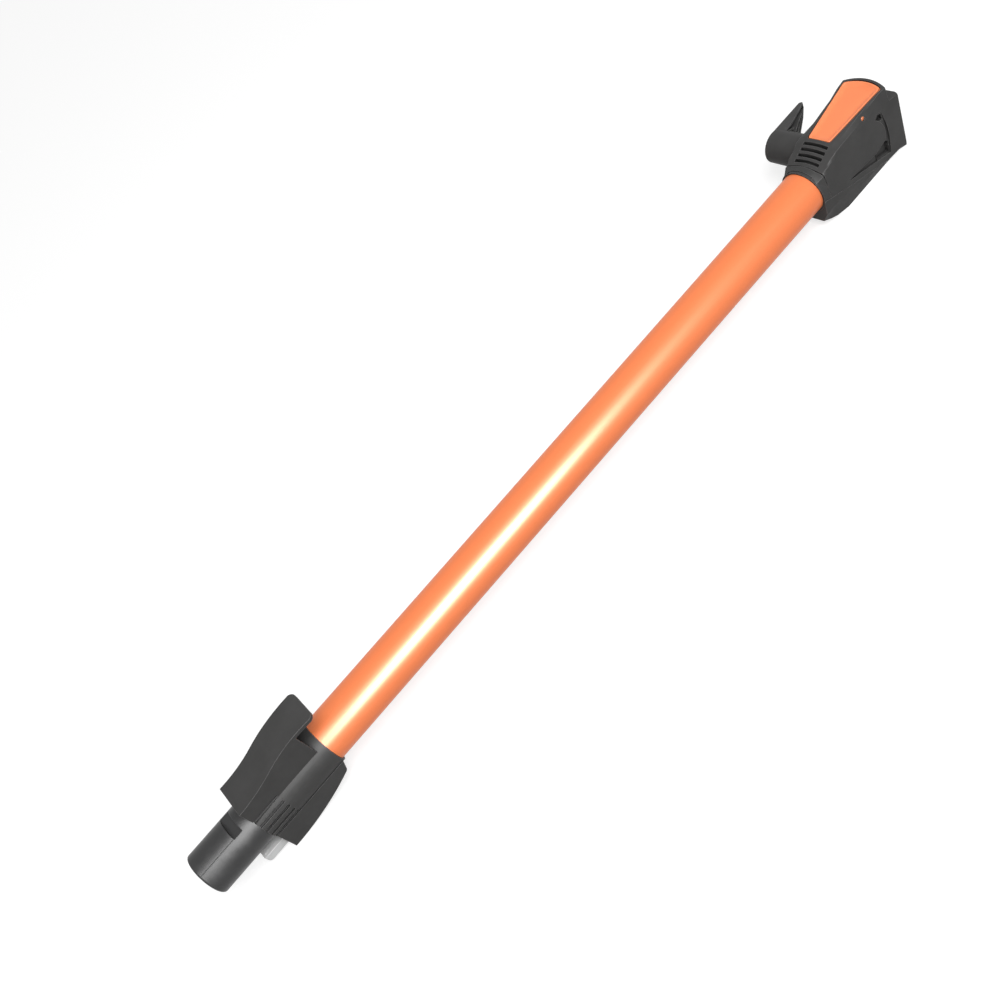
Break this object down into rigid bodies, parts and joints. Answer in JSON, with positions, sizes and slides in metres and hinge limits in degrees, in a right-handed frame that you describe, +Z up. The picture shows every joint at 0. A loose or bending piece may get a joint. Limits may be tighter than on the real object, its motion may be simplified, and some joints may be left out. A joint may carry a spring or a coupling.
{
  "type": "vacuum extension wand",
  "caption": "Straight metal vacuum wand with a spigot and plug at one end, a latching socket head with a rocking release button at the other, and a swivelling cord hook.",
  "frame": {"origin": "on the tube's axis, in the shoulder face of the lower housing, where a mating socket stops; 31.2 mm above the surface that the wand lies on", "axes": "+X along the tube from the spigot to the head, +Y towards the cord hook, +Z up through the release button"},
  "size_m": [0.7425, 0.0868, 0.0725],
  "materials": {
    "tube_metal": "orange metallic lacquer, satin gloss",
    "gloss_grey": "smooth dark grey",
    "charcoal": "fine moulded texture",
    "button_orange": "satin orange",
    "pale_plastic": "pale grey",
    "inner_black": "plain black",
    "contact_brass": "plain",
    "seal_rubber": "matt black",
    "brown_insulation": "brown",
    "blue_insulation": "blue",
    "spring_steel": "plain",
    "zinc_steel": "zinc plated"
  },
  "bodies": {
    "wand": {"wand_tube": "tube_metal", "spigot": "gloss_grey", "spigot_gasket": "seal_rubber", "lower_housing": "charcoal", "rear_cover": "charcoal", "plug_block": "pale_plastic", "plug_pins": "contact_brass", "wire_conduit": "inner_black", "live_wire": "brown_insulation", "neutral_wire": "blue_insulation", "head_shell": "charcoal", "head_cover": "charcoal", "contact_block": "inner_black", "contact_sleeves": "contact_brass", "socket_seal": "seal_rubber", "button_spring": "spring_steel", "hook_washer": "zinc_steel", "hook_screw": "zinc_steel", "cover_screws": "zinc_steel", "tube_screws": "zinc_steel"},
    "button": {"release_button": "button_orange"},
    "hook": {"cord_hook": "charcoal"}
  },
  "joints": [
    {"name": "button_rock", "type": "hinge", "parent": "wand", "child": "button", "pos_m": [0.6575, 0, 0.024], "axis": [0, -1, 0], "range_deg": [0, 6], "stiffness_Nm_per_rad": 1, "springref_deg": -5.73, "deforming": ["button_spring"]},
    {"name": "hook_swivel", "type": "hinge", "parent": "wand", "child": "hook", "pos_m": [0.637, 0, 0], "axis": [0, -1, 0], "range_deg": [0, 180]}
  ]
}
